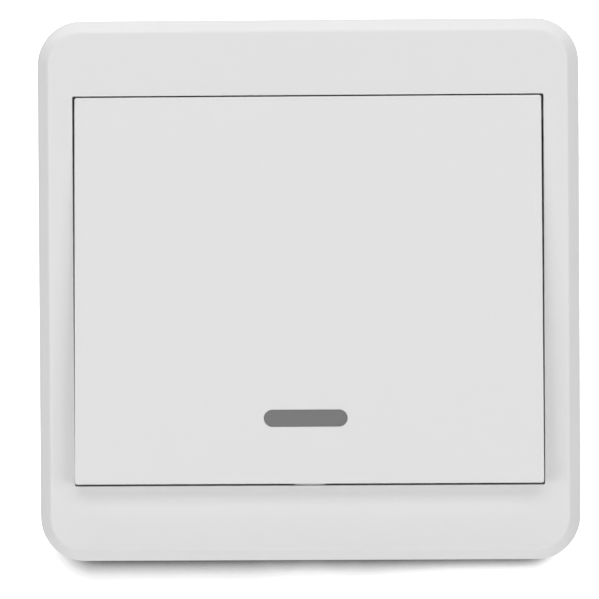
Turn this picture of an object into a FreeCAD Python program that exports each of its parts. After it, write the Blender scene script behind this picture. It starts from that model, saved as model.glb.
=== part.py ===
import FreeCAD, Part
import math
import os
import re
import Sketcher

document = FreeCAD.newDocument("wall_switch")

# Driving sizes in millimetres and degrees. In each piece's expressions x runs to the right,
# y up the wall and z out of the wall, from the middle of the back face.
sizes = {
    # Front frame
    "plate_side": 86.0,
    "plate_corner": 7.0,
    "face_height": 12.0,
    "frame_lift": 0.3,
    "front_wall": 2.0,
    "skirt_wall": 1.8,
    "bevel_width": 1.9,
    "bevel_drop": 3.0,
    "side_band": 5.75,
    "end_band": 12.1,
    "opening_corner": 0.2,
    "collar_wall": 1.4,
    "collar_drop": 4.0,
    "rib_drop": 2.0,
    "rib_wall": 1.0,
    "rib_pitch": 20.0,
    "rib_gap": 0.5,
    "pry_width": 12.0,
    "pry_height": 1.5,
    # Rocker key
    "side_gap": 0.35,
    "top_gap": 0.2,
    "bottom_gap": 0.6,
    "rocker_tilt": 3.8,
    "rocker_plate": 1.8,
    "rocker_wall": 1.2,
    "rocker_depth": 5.8,
    "rocker_corner": 0.4,
    "rocker_draft": 1.5,
    "rocker_edge": 0.2,
    "rocker_rib_depth": 0.8,
    "rocker_rib_near": 18.0,
    "rocker_rib_inset": 8.0,
    "rocker_rib_rise": 24.5,
    # Rocker hinge
    "hinge_inset": 3.05,
    "hinge_drop": 3.8,
    "pin_radius": 1.0,
    "pin_clearance": 0.05,
    "pin_reach": 1.0,
    "pin_lead": 0.3,
    "groove_depth": 0.5,
    # Rocker retaining hook
    "hook_width": 4.7,
    "hook_reach": 1.0,
    "hook_wall": 1.5,
    "hook_lip": 0.6,
    "hook_setback": 0.2,
    "hook_clearance": 0.05,
    "hook_side_gap": 1.6,
    "slit_width": 0.6,
    "slit_height": 3.0,
    # Indicator lens
    "lens_length": 13.1,
    "lens_width": 2.6,
    "lens_rise": 10.3,
    "lens_offset": 0.5,
    "lens_clearance": 0.05,
    "lens_flange": 1.0,
    "lens_flange_wall": 0.8,
    "light_guide_length": 4.0,
    "light_guide_depth": 0.8,
    # Back shell
    "shell_gap": 0.2,
    "shell_floor": 1.8,
    "shell_wall": 1.4,
    "seat_gap": 0.1,
    "screw_inset": 12.85,
    "screw_slot_length": 8.0,
    "screw_slot_width": 4.2,
    "slot_rim_wall": 1.2,
    "slot_rim_height": 1.2,
    "shell_rib_gap": 0.4,
    "shell_rib_x": 20.0,
    "shell_rib_rise": 15.0,
    "battery_rib_gap": 1.0,
    # Snap tongues between frame and shell
    "snap_x": 22.0,
    "snap_width": 8.0,
    "snap_root": 0.6,
    "snap_drop": 4.0,
    "snap_reach": 0.6,
    "snap_lip": 0.4,
    "snap_height": 2.0,
    "snap_recess": 0.8,
    "snap_play": 0.15,
    "snap_slit": 1.0,
    # Circuit board and its screws
    "board_drop": 6.0,
    "board_wall": 1.6,
    "board_margin": 2.7,
    "board_top_margin": 5.9,
    "board_bottom_margin": 3.9,
    "notch_clearance": 0.8,
    "boss_inset": 4.0,
    "boss_radius": 2.5,
    "board_screw_radius": 1.0,
    "board_screw_clearance": 0.1,
    "board_screw_tip": 1.0,
    "board_screw_head_radius": 1.9,
    "board_screw_head_height": 1.3,
    "board_screw_head_bevel": 0.5,
    "board_screw_tip_gap": 0.2,
    "cross_length": 2.2,
    "cross_width": 0.5,
    "cross_depth": 0.7,
    # Push switch
    "switch_rise": 5.5,
    "switch_side": 6.0,
    "switch_base_height": 3.2,
    "switch_well_radius": 2.4,
    "switch_well_depth": 2.2,
    "switch_cover_wall": 0.3,
    "switch_cover_skirt": 2.0,
    "switch_leg_reach": 1.5,
    "switch_leg_width": 0.7,
    "switch_leg_wall": 0.25,
    "switch_leg_height": 1.1,
    "switch_leg_pitch": 4.5,
    "plunger_radius": 1.75,
    "plunger_clearance": 0.08,
    "plunger_height": 4.3,
    "plunger_flange_radius": 2.2,
    "plunger_flange_wall": 0.6,
    "plunger_play": 0.05,
    "plunger_foot_radius": 0.8,
    "plunger_foot_gap": 0.1,
    "dome_radius": 2.2,
    "dome_crown": 0.9,
    "dome_height": 0.7,
    "dome_wall": 0.1,
    "actuator_radius": 1.6,
    "actuator_gap": 0.18,
    # Battery and its contacts
    "battery_radius": 4.0,
    "battery_length": 28.2,
    "battery_rise": 14.0,
    "battery_lift": 0.6,
    "battery_edge": 0.5,
    "battery_nub_radius": 1.6,
    "battery_nub_length": 1.0,
    "battery_clearance": 0.1,
    "battery_side_gap": 0.5,
    "saddle_x": 9.0,
    "saddle_wall": 1.6,
    "contact_wall": 0.4,
    "contact_width": 6.4,
    "contact_gap": 0.05,
    "contact_foot": 3.5,
    "contact_board_gap": 0.2,
    "leaf_depth": 2.0,
    # Parts on the board
    "led_radius": 1.5,
    "led_height": 4.2,
    "led_crown": 0.8,
    "led_flange_radius": 1.9,
    "led_flange_wall": 1.0,
    "chip_length": 4.9,
    "chip_width": 3.9,
    "chip_height": 1.4,
    "chip_standoff": 0.1,
    "chip_x": 12.0,
    "chip_fall": 9.0,
    "lead_pitch": 1.27,
    "lead_width": 0.4,
    "lead_wall": 0.2,
    "lead_reach": 1.05,
    "lead_rise": 0.8,
    "transistor_length": 2.9,
    "transistor_width": 1.4,
    "transistor_height": 1.0,
    "transistor_x": 7.0,
    "transistor_fall": 4.5,
    "transistor_lead_reach": 0.6,
    "resonator_radius": 4.1,
    "resonator_base_radius": 4.65,
    "resonator_base_wall": 0.5,
    "resonator_height": 3.3,
    "resonator_edge": 0.5,
    "resonator_x": 14.0,
    "resonator_fall": 8.0,
    "small_part_length": 2.0,
    "small_part_width": 1.25,
    "small_part_pitch": 2.7,
    "small_part_rise": 1.5,
    "resistor_height": 0.5,
    "resistor_x": 6.0,
    "capacitor_height": 0.9,
    "capacitor_x": 16.0,
    "antenna_width": 0.9,
    "antenna_wall": 0.5,
    "antenna_span": 20.0,
    "antenna_rise": 2.2,
    "antenna_bend": 1.2,
    "antenna_side_gap": 3.1,
    "antenna_inset": 3.0,
}

dims = document.addObject("Spreadsheet::Sheet", "dims")
for row, (alias, size) in enumerate(sizes.items(), start=1):
    dims.set(f"A{row}", str(size))
    dims.setAlias(f"A{row}", alias)
document.recompute()

# Places that several pieces share
half_side = "(plate_side / 2)"
opening_x = "(plate_side / 2 - side_band)"
opening_y = "(plate_side / 2 - end_band)"
front_under = "(face_height - front_wall)"
collar_end = "(face_height - front_wall - collar_drop)"
shell_side = "(plate_side / 2 - skirt_wall - shell_gap)"
shell_corner = "(plate_corner - skirt_wall - shell_gap)"
shell_top = "(face_height - front_wall - seat_gap)"
screw_x = "(plate_side / 2 - screw_inset)"
snap_foot = f"({front_under} - snap_drop)"
hinge_y = "(plate_side / 2 - end_band - hinge_inset)"
hinge_z = "(face_height - hinge_drop)"
board_top = "(face_height - board_drop)"
board_under = "(face_height - board_drop - board_wall)"
board_x = "(plate_side / 2 - side_band - side_gap - rocker_wall - board_margin)"
board_upper = "(plate_side / 2 - end_band - board_top_margin)"
board_lower = "(board_bottom_margin + end_band - plate_side / 2)"
battery_y = f"({board_lower} + battery_rise)"
battery_z = "(shell_floor + battery_lift + battery_radius)"

# The rocker's own frame has its origin on the hinge axis and lies square to the key's face
rocker_x = f"({opening_x} - side_gap)"
rocker_face = "((hinge_inset - top_gap) * sin(rocker_tilt) + hinge_drop * cos(rocker_tilt))"
rocker_under = f"({rocker_face} - rocker_plate)"
rocker_foot = f"({rocker_face} - rocker_depth)"
rocker_top = "((hinge_inset - top_gap) * cos(rocker_tilt) - hinge_drop * sin(rocker_tilt))"
rocker_fall = f"(2 * {opening_y} - hinge_inset - bottom_gap)"
rocker_bottom = f"(-({rocker_fall} + {rocker_face} * sin(rocker_tilt)) / cos(rocker_tilt))"
lens_y = f"({rocker_bottom} + lens_rise)"

bodies = []
same_place = 1e-4
same_volume = 1e-6


def bound(text):
    """An expression with the sheet's name put before each size in it."""
    return re.sub(r"[a-z]+(?:_[a-z]+)+", r"dims.\g<0>", text)


def value(text):
    return float(dims.evalExpression(bound(text)))


def new_body(label, x="0", y="0", z="0", tilt="0"):
    """A body whose own Z axis points out of the wall, at x, y and z."""
    body = document.addObject("PartDesign::Body", label)
    body.Label = label
    body.Placement = FreeCAD.Placement(FreeCAD.Vector(), FreeCAD.Rotation(FreeCAD.Vector(1, 0, 0), 90))
    body.setExpression("Placement.Rotation.Angle", bound(f"90 - {tilt}"))
    body.setExpression("Placement.Base.x", bound(x))
    body.setExpression("Placement.Base.y", bound(f"-1 * {z}"))
    body.setExpression("Placement.Base.z", bound(y))
    bodies.append(body)
    return body


def origin_feature(body, role):
    return next(feature for feature in body.Origin.OriginFeatures if feature.Role == role)


def new_sketch(body, name, height="0", plane="XY_Plane"):
    """A sketch on an origin plane of its body, moved along the plane's normal by height."""
    sketch = body.newObject("Sketcher::SketchObject", f"{body.Label}_{name}")
    sketch.AttachmentSupport = (origin_feature(body, plane), [""])
    sketch.MapMode = "FlatFace"
    sketch.setExpression("AttachmentOffset.Base.z", bound(height))
    return sketch


def hold_point(sketch, geometry, end, x, y):
    """Tie one point of a sketch to a place measured from its origin."""
    for kind, text in (("DistanceX", x), ("DistanceY", y)):
        index = sketch.addConstraint(Sketcher.Constraint(kind, -1, 1, geometry, end, value(text)))
        sketch.setExpression(f"Constraints[{index}]", bound(text))


def hold_radius(sketch, geometry, radius):
    index = sketch.addConstraint(Sketcher.Constraint("Radius", geometry, value(radius)))
    sketch.setExpression(f"Constraints[{index}]", bound(radius))


def add_circle(sketch, x, y, radius):
    centre = FreeCAD.Vector(value(x), value(y), 0)
    circle = Part.Circle(centre, FreeCAD.Vector(0, 0, 1), value(radius))
    geometry = sketch.addGeometry(circle, False)
    hold_point(sketch, geometry, 3, x, y)
    hold_radius(sketch, geometry, radius)


def add_polygon(sketch, points):
    """A closed outline of straight lines through the points."""
    corners = [FreeCAD.Vector(value(x), value(y), 0) for x, y in points]
    lines = []
    for corner, following in zip(corners, corners[1:] + corners[:1]):
        lines.append(sketch.addGeometry(Part.LineSegment(corner, following), False))
    for line, following in zip(lines, lines[1:] + lines[:1]):
        sketch.addConstraint(Sketcher.Constraint("Coincident", line, 2, following, 1))
    for line, (x, y) in zip(lines, points):
        hold_point(sketch, line, 1, x, y)


def add_rectangle(sketch, left, low, right, high):
    add_polygon(sketch, [(left, low), (right, low), (right, high), (left, high)])


def add_rounded(sketch, corners, radius, sweep):
    """A closed outline of equal arcs, joined by lines that touch them; counterclockwise."""
    arcs = []
    for x, y, start in corners:
        centre = FreeCAD.Vector(value(x), value(y), 0)
        circle = Part.Circle(centre, FreeCAD.Vector(0, 0, 1), value(radius))
        arc = Part.ArcOfCircle(circle, math.radians(start), math.radians(start + sweep))
        arcs.append(sketch.addGeometry(arc, False))
    for arc, following in zip(arcs, arcs[1:] + arcs[:1]):
        run = Part.LineSegment(sketch.getPoint(arc, 2), sketch.getPoint(following, 1))
        line = sketch.addGeometry(run, False)
        sketch.addConstraint(Sketcher.Constraint("Tangent", arc, 2, line, 1))
        sketch.addConstraint(Sketcher.Constraint("Tangent", line, 2, following, 1))
    for arc, (x, y, start) in zip(arcs, corners):
        hold_point(sketch, arc, 3, x, y)
        hold_radius(sketch, arc, radius)


def add_rounded_rectangle(sketch, left, low, right, high, radius):
    corners = [
        (f"{right} - {radius}", f"{high} - {radius}", 0),
        (f"{left} + {radius}", f"{high} - {radius}", 90),
        (f"{left} + {radius}", f"{low} + {radius}", 180),
        (f"{right} - {radius}", f"{low} + {radius}", 270),
    ]
    add_rounded(sketch, corners, radius, 90)


def add_middle_rectangle(sketch, half_width, half_height, radius):
    """A rounded rectangle about the sketch's origin."""
    add_rounded_rectangle(sketch, f"-{half_width}", f"-{half_height}", half_width, half_height, radius)


def add_slot(sketch, x, y, length, width):
    """A level slot with full round ends."""
    reach = f"({length} - {width}) / 2"
    add_rounded(sketch, [(f"{x} + {reach}", y, -90), (f"{x} - {reach}", y, 90)], f"({width} / 2)", 180)


def finish_feature(body, feature, adds=None):
    """Rebuild the body and make sure that the feature changed it in the way that was meant."""
    body.Tip = feature
    document.recompute()
    base = feature.BaseFeature
    before = base.Shape.Volume if base else 0
    change = feature.Shape.Volume - before
    if abs(change) < same_volume or adds is not None and (change > 0) != adds:
        raise ValueError(f"{feature.Label} changed the volume by {change}")
    return feature


def add_pad(sketch, length, reverse=False, both_ways=False, draft="0"):
    body = sketch.getParentGeoFeatureGroup()
    pad = body.newObject("PartDesign::Pad", f"{sketch.Label}_pad")
    pad.Profile = sketch
    pad.setExpression("Length", bound(length))
    pad.SideType = "Symmetric" if both_ways else "One side"
    pad.Reversed = reverse
    if draft != "0":
        pad.setExpression("TaperAngle", bound(f"-1 * {draft}"))
    sketch.Visibility = False
    return finish_feature(body, pad, True)


def add_pocket(sketch, length=None, upwards=True, both_ways=False):
    """A cut along the sketch's normal; with no length it goes right through."""
    body = sketch.getParentGeoFeatureGroup()
    pocket = body.newObject("PartDesign::Pocket", f"{sketch.Label}_cut")
    pocket.Profile = sketch
    pocket.SideType = "Symmetric" if both_ways else "One side"
    pocket.Reversed = upwards
    if length is None:
        pocket.Type = "ThroughAll"
    else:
        pocket.setExpression("Length", bound(length))
    sketch.Visibility = False
    return finish_feature(body, pocket, False)


def add_revolution(sketch, axis):
    body = sketch.getParentGeoFeatureGroup()
    turned = body.newObject("PartDesign::Revolution", f"{sketch.Label}_turned")
    turned.Profile = sketch
    turned.ReferenceAxis = (origin_feature(body, axis), [""])
    turned.Angle = 360
    sketch.Visibility = False
    return finish_feature(body, turned, True)


def add_mirror(feature, plane):
    """The same feature again on the other side of an origin plane."""
    body = feature.getParentGeoFeatureGroup()
    mirror = body.newObject("PartDesign::Mirrored", f"{feature.Label}_mirror")
    mirror.Originals = [feature]
    mirror.MirrorPlane = (origin_feature(body, plane), [""])
    return finish_feature(body, mirror, True)


def add_row(feature, count, pitch, adds=True):
    """Copies of a feature along X, one pitch apart."""
    body = feature.getParentGeoFeatureGroup()
    pattern = body.newObject("PartDesign::LinearPattern", f"{feature.Label}_row")
    pattern.Originals = [feature]
    pattern.Direction = (origin_feature(body, "X_Axis"), [""])
    pattern.Occurrences = count
    pattern.setExpression("Length", bound(f"{count - 1} * {pitch}"))
    return finish_feature(body, pattern, adds)


def edges_at(feature, place, axis="Z"):
    """Names of the edges that lie square to an axis of the body, at one place along it."""
    level = value(place)
    names = []
    for number, edge in enumerate(feature.Shape.Edges, start=1):
        low = getattr(edge.BoundBox, f"{axis}Min")
        high = getattr(edge.BoundBox, f"{axis}Max")
        if abs(low - level) < same_place and abs(high - level) < same_place:
            names.append(f"Edge{number}")
    return names


def add_fillet(feature, edges, radius):
    body = feature.getParentGeoFeatureGroup()
    fillet = body.newObject("PartDesign::Fillet", f"{feature.Label}_fillet")
    fillet.Base = (feature, edges)
    fillet.setExpression("Radius", bound(radius))
    return finish_feature(body, fillet)


def add_chamfer(feature, edges, width, drop=None):
    """A bevel of one width, or of a width across the face and a drop down the side."""
    body = feature.getParentGeoFeatureGroup()
    chamfer = body.newObject("PartDesign::Chamfer", f"{feature.Label}_chamfer")
    chamfer.Base = (feature, edges)
    chamfer.setExpression("Size", bound(drop or width))
    if drop:
        chamfer.ChamferType = "Two distances"
        chamfer.setExpression("Size2", bound(width))
    return finish_feature(body, chamfer, False)


# Front frame: one moulding with a bevelled rim, a skirt that hides the shell and a collar
# that guides the rocker and holds its pins
frame = new_body("front_frame")
outline = new_sketch(frame, "outline", "frame_lift")
add_middle_rectangle(outline, half_side, half_side, "plate_corner")
block = add_pad(outline, "face_height - frame_lift")
add_chamfer(block, edges_at(block, "face_height"), "bevel_width", "bevel_drop")

inside_x = "(plate_side / 2 - skirt_wall)"
inside = new_sketch(frame, "inside", "frame_lift")
add_middle_rectangle(inside, inside_x, inside_x, "(plate_corner - skirt_wall)")
add_pocket(inside, f"{front_under} - frame_lift")

opening = new_sketch(frame, "opening", front_under)
add_middle_rectangle(opening, opening_x, opening_y, "opening_corner")
add_pocket(opening)

collar = new_sketch(frame, "collar", collar_end)
add_middle_rectangle(collar, opening_x, opening_y, "opening_corner")
collar_x = f"({opening_x} + collar_wall)"
collar_y = f"({opening_y} + collar_wall)"
add_middle_rectangle(collar, collar_x, collar_y, "(opening_corner + collar_wall)")
add_pad(collar, "collar_drop")

# The rocker's pins turn in these holes and ride up the grooves when it is pushed in from behind
pin_holes = new_sketch(frame, "pin_holes", plane="YZ_Plane")
add_circle(pin_holes, hinge_y, hinge_z, "(pin_radius + pin_clearance)")
add_pocket(pin_holes, f"2 * {collar_x} + 2 * rib_gap", both_ways=True)
grooves = new_sketch(frame, "grooves", collar_end)
for side in (-1, 1):
    near = f"{side} * ({opening_x} - groove_depth)"
    far = f"{side} * ({opening_x} + groove_depth)"
    low = f"{hinge_y} - pin_radius - pin_clearance"
    high = f"{hinge_y} + pin_radius + pin_clearance"
    add_rectangle(grooves, near, low, far, high)
add_pocket(grooves, f"{hinge_z} - {collar_end}")

# The collar leaves room for the rocker's hook, which catches under the front wall
hook_room = new_sketch(frame, "hook_room", collar_end)
room_x = "(hook_width / 2 + hook_side_gap)"
add_rectangle(
    hook_room,
    f"-{room_x}",
    f"-({collar_y} + collar_wall)",
    room_x,
    f"-({opening_y} - collar_wall)",
)
add_pocket(hook_room, "collar_drop")

# Ribs stiffen the wide bands above and below the rocker
frame_ribs = new_sketch(frame, "ribs", f"{front_under} - rib_drop")
rib_start = f"({opening_y} + collar_wall / 2)"
rib_end = f"({shell_side} - shell_wall - rib_gap)"
for end in (-1, 1):
    for place in (-1.5, -0.5, 0.5, 1.5):
        left = f"{place} * rib_pitch - rib_wall / 2"
        right = f"{place} * rib_pitch + rib_wall / 2"
        add_rectangle(frame_ribs, left, f"{end} * {rib_start}", right, f"{end} * {rib_end}")
add_pad(frame_ribs, "rib_drop")

# Recesses in the skirt take the shell's snap tongues
recesses = new_sketch(frame, "snap_recesses", snap_foot)
for end in (-1, 1):
    for side in (-1, 1):
        left = f"{side} * snap_x - snap_width / 2 - snap_play"
        right = f"{side} * snap_x + snap_width / 2 + snap_play"
        near = f"{end} * ({inside_x} - shell_gap / 2)"
        far = f"{end} * ({inside_x} + snap_recess)"
        add_rectangle(recesses, left, near, right, far)
add_pocket(recesses, "snap_height + 2 * snap_play")

# A screwdriver in this notch lifts the frame off the wall plate
pry_notch = new_sketch(frame, "pry_notch", "frame_lift")
add_rectangle(
    pry_notch,
    "-pry_width / 2",
    f"-({half_side} + skirt_wall)",
    "pry_width / 2",
    f"-({inside_x} - shell_gap / 2)",
)
add_pocket(pry_notch, "pry_height")

# Back shell: the wall plate, with slots for two wall screws, a snap wall, and bosses for the board
shell = new_body("back_shell")
floor = new_sketch(shell, "floor")
add_middle_rectangle(floor, shell_side, shell_side, shell_corner)
for side in (-1, 1):
    add_slot(floor, f"{side} * {screw_x}", "0", "screw_slot_length", "screw_slot_width")
add_pad(floor, "shell_floor")

wall = new_sketch(shell, "wall", "shell_floor")
add_middle_rectangle(wall, shell_side, shell_side, shell_corner)
wall_inside = f"({shell_side} - shell_wall)"
add_middle_rectangle(wall, wall_inside, wall_inside, f"({shell_corner} - shell_wall)")
add_pad(wall, f"{shell_top} - shell_floor")

# Slits free four tongues of the wall, and a barb on each catches in the frame's recess
slits = new_sketch(shell, "slits", "shell_floor + snap_root")
for end in (-1, 1):
    for side in (-1, 1):
        for edge in (-1, 1):
            near = f"{side} * snap_x + {edge} * snap_width / 2"
            far = f"{side} * snap_x + {edge} * (snap_width / 2 + snap_slit)"
            inner = f"{end} * ({wall_inside} - rib_gap)"
            outer = f"{end} * ({shell_side} + shell_gap)"
            add_rectangle(slits, near, inner, far, outer)
add_pocket(slits)
for end in (-1, 1):
    for side in (-1, 1):
        where = f"{'upper' if end > 0 else 'lower'}_{'right' if side > 0 else 'left'}"
        barb = new_sketch(shell, f"barb_{where}", f"{side} * snap_x", "YZ_Plane")
        root = f"{end} * ({shell_side} - shell_wall / 2)"
        face = f"{end} * {shell_side}"
        tip = f"{end} * ({shell_side} + snap_reach)"
        foot = f"({snap_foot} + snap_play)"
        add_polygon(
            barb,
            [
                (root, foot),
                (tip, foot),
                (tip, f"{foot} + snap_lip"),
                (face, f"{foot} + snap_height"),
                (root, f"{foot} + snap_height"),
            ],
        )
        add_pad(barb, "snap_width", both_ways=True)

rims = new_sketch(shell, "slot_rims", "shell_floor")
for side in (-1, 1):
    place = f"{side} * {screw_x}"
    add_slot(rims, place, "0", "screw_slot_length", "screw_slot_width")
    rim_length = "(screw_slot_length + 2 * slot_rim_wall)"
    add_slot(rims, place, "0", rim_length, "(screw_slot_width + 2 * slot_rim_wall)")
add_pad(rims, "slot_rim_height")

boss_places = []
for side in (-1, 1):
    boss_places.append((f"{side} * ({board_x} - boss_inset)", f"{board_upper} - boss_inset"))
    boss_places.append((f"{side} * ({board_x} - boss_inset)", f"{board_lower} + boss_inset"))
bosses = new_sketch(shell, "bosses", "shell_floor")
for x, y in boss_places:
    add_circle(bosses, x, y, "boss_radius")
add_pad(bosses, f"{board_under} - shell_floor")
boss_holes = new_sketch(shell, "boss_holes", "board_screw_tip - board_screw_tip_gap")
for x, y in boss_places:
    add_circle(boss_holes, x, y, "board_screw_radius + board_screw_clearance")
add_pocket(boss_holes)

# Two saddles carry the battery, and ribs below the board keep the floor flat
saddles = new_sketch(shell, "saddles", "shell_floor")
for side in (-1, 1):
    left = f"{side} * saddle_x - saddle_wall / 2"
    right = f"{side} * saddle_x + saddle_wall / 2"
    low = f"{battery_y} - battery_radius"
    high = f"{battery_y} + battery_radius"
    add_rectangle(saddles, left, low, right, high)
add_pad(saddles, f"{board_under} - shell_floor")
cradle = new_sketch(shell, "cradle", plane="YZ_Plane")
add_circle(cradle, battery_y, battery_z, "(battery_radius + battery_clearance)")
add_pocket(cradle, "2 * saddle_x + 2 * saddle_wall", both_ways=True)
upright_ribs = new_sketch(shell, "upright_ribs", "shell_floor")
for side in (-1, 1):
    left = f"{side} * shell_rib_x - rib_wall / 2"
    right = f"{side} * shell_rib_x + rib_wall / 2"
    add_rectangle(upright_ribs, left, f"-{wall_inside} - rib_gap", right, f"{wall_inside} + rib_gap")
shell_rib_height = f"({board_under} - shell_floor - shell_rib_gap)"
add_pad(upright_ribs, shell_rib_height)
level_ribs = new_sketch(shell, "level_ribs", "shell_floor")
for middle in ("shell_rib_rise", f"({battery_y} - battery_radius - battery_rib_gap - rib_wall / 2)"):
    low = f"{middle} - rib_wall / 2"
    high = f"{middle} + rib_wall / 2"
    add_rectangle(level_ribs, f"-{wall_inside} - rib_gap", low, f"{wall_inside} + rib_gap", high)
add_pad(level_ribs, shell_rib_height)

# Rocker key: a drafted tray moulded face down, with hinge pins near its upper edge
rocker = new_body("rocker", y=hinge_y, z=hinge_z, tilt="rocker_tilt")
key = new_sketch(rocker, "face", rocker_face)
add_rounded_rectangle(key, f"-{rocker_x}", rocker_bottom, rocker_x, rocker_top, "rocker_corner")
tray = add_pad(key, "rocker_depth", reverse=True, draft="rocker_draft")
add_fillet(tray, edges_at(tray, rocker_face), "rocker_edge")
hollow = new_sketch(rocker, "hollow", rocker_foot)
add_rectangle(
    hollow,
    f"-({rocker_x} - rocker_wall)",
    f"{rocker_bottom} + rocker_wall",
    f"{rocker_x} - rocker_wall",
    f"{rocker_top} - rocker_wall",
)
add_pocket(hollow, f"{rocker_under} - {rocker_foot}")

pin = new_sketch(rocker, "pin", f"{rocker_x} - rocker_wall", "YZ_Plane")
add_circle(pin, "0", "0", "pin_radius")
pin_pad = add_pad(pin, "rocker_wall + side_gap + pin_reach")
add_mirror(pin_pad, "YZ_Plane")
add_chamfer(rocker.Tip, edges_at(rocker.Tip, f"{rocker_x} + side_gap + pin_reach", "X"), "pin_lead")
add_chamfer(rocker.Tip, edges_at(rocker.Tip, f"-({rocker_x} + side_gap + pin_reach)", "X"), "pin_lead")

long_ribs = new_sketch(rocker, "long_ribs", f"{rocker_under} - rocker_rib_depth")
for side in (-1, 1):
    for place in ("rocker_rib_near", f"({rocker_x} - rocker_rib_inset)"):
        left = f"{side} * {place} - rib_wall / 2"
        right = f"{side} * {place} + rib_wall / 2"
        low = f"{rocker_bottom} + rocker_wall / 2"
        add_rectangle(long_ribs, left, low, right, f"{rocker_top} - rocker_wall / 2")
add_pad(long_ribs, "rocker_rib_depth")

# The post below the key stands over the push switch's plunger and ends square to the key
plunger_top = f"({board_top} + plunger_height)"
post_fall = f"({hinge_y} - switch_rise)"
post_drop = f"({plunger_top} + actuator_gap - {hinge_z})"
post_y = f"(-{post_fall} * cos(rocker_tilt) - {post_drop} * sin(rocker_tilt))"
post_end = f"({post_drop} * cos(rocker_tilt) - {post_fall} * sin(rocker_tilt))"
cross_ribs = new_sketch(rocker, "cross_ribs", f"{rocker_under} - rocker_rib_depth")
for place in (post_y, f"({rocker_bottom} + rocker_rib_rise)"):
    reach = f"({rocker_x} - rocker_wall / 2)"
    low = f"{place} - rib_wall / 2"
    high = f"{place} + rib_wall / 2"
    add_rectangle(cross_ribs, f"-{reach}", low, reach, high)
add_pad(cross_ribs, "rocker_rib_depth")
post = new_sketch(rocker, "post", post_end)
add_circle(post, "0", post_y, "actuator_radius")
add_pad(post, f"{rocker_under} - {post_end}")

# The hook is a springy tongue of the lower wall that catches under the front frame
tongue_slits = new_sketch(rocker, "tongue_slits", rocker_foot)
for side in (-1, 1):
    near = f"{side} * hook_width / 2"
    far = f"{side} * (hook_width / 2 + slit_width)"
    low = f"{rocker_bottom} - slit_width"
    add_rectangle(tongue_slits, near, low, far, f"{rocker_bottom} + rocker_wall + slit_width")
add_pocket(tongue_slits, "slit_height")
tip_fall = f"(2 * {opening_y} - hinge_inset + hook_reach)"
tip_drop = "(hinge_drop - front_wall - hook_clearance)"
tip_y = f"(-{tip_fall} * cos(rocker_tilt) - {tip_drop} * sin(rocker_tilt))"
catch = f"({tip_drop} * cos(rocker_tilt) - {tip_fall} * sin(rocker_tilt))"
tongue_outer = f"({rocker_bottom} + hook_setback)"
tongue_inner = f"({rocker_bottom} + rocker_wall)"
hook = new_sketch(rocker, "hook", plane="YZ_Plane")
add_polygon(
    hook,
    [
        (tongue_inner, rocker_under),
        (tongue_outer, rocker_under),
        (tongue_outer, catch),
        (tip_y, catch),
        (tip_y, f"{catch} - hook_lip"),
        (tongue_outer, f"{catch} - hook_wall"),
        (tongue_inner, f"{catch} - hook_wall"),
    ],
)
add_pad(hook, "hook_width", both_ways=True)

lens_slot = new_sketch(rocker, "lens_slot", rocker_under)
slot_length = "(lens_length + 2 * lens_clearance)"
add_slot(lens_slot, "-lens_offset", lens_y, slot_length, "(lens_width + 2 * lens_clearance)")
add_pocket(lens_slot)

# Indicator lens: a smoked window pushed in from behind, with a light guide above the lamp
lens = new_body("indicator_lens", y=hinge_y, z=hinge_z, tilt="rocker_tilt")
window = new_sketch(lens, "window", rocker_under)
add_slot(window, "-lens_offset", lens_y, "lens_length", "lens_width")
add_pad(window, "rocker_plate")
flange = new_sketch(lens, "flange", f"{rocker_under} - lens_flange_wall")
flange_length = "(lens_length + 2 * lens_flange)"
add_slot(flange, "-lens_offset", lens_y, flange_length, "(lens_width + 2 * lens_flange)")
add_pad(flange, "lens_flange_wall")
guide = new_sketch(lens, "guide", f"{rocker_under} - lens_flange_wall - light_guide_depth")
add_slot(guide, "-lens_offset", lens_y, "light_guide_length", "lens_width")
add_pad(guide, "light_guide_depth")

# Circuit board: notched beside the wall screws and cut out round the battery
board = new_body("circuit_board", z=board_under)
laminate = new_sketch(board, "laminate")
notch_x = f"({screw_x} - screw_slot_length / 2 - slot_rim_wall - notch_clearance)"
notch_y = "(screw_slot_width / 2 + slot_rim_wall + notch_clearance)"
add_polygon(
    laminate,
    [
        (f"-{board_x}", board_lower),
        (board_x, board_lower),
        (board_x, f"-{notch_y}"),
        (notch_x, f"-{notch_y}"),
        (notch_x, notch_y),
        (board_x, notch_y),
        (board_x, board_upper),
        (f"-{board_x}", board_upper),
        (f"-{board_x}", notch_y),
        (f"-{notch_x}", notch_y),
        (f"-{notch_x}", f"-{notch_y}"),
        (f"-{board_x}", f"-{notch_y}"),
    ],
)
for x, y in boss_places:
    add_circle(laminate, x, y, "board_screw_radius + board_screw_clearance")
battery_end = "(battery_length / 2)"
window_left = f"(-{battery_end} - contact_gap - leaf_depth - contact_board_gap)"
window_right = f"({battery_end} + contact_gap + contact_wall + contact_board_gap)"
window_low = f"({battery_y} - battery_radius - battery_side_gap)"
window_high = f"({battery_y} + battery_radius + battery_side_gap)"
add_rectangle(laminate, window_left, window_low, window_right, window_high)
add_pad(laminate, "board_wall")

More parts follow.
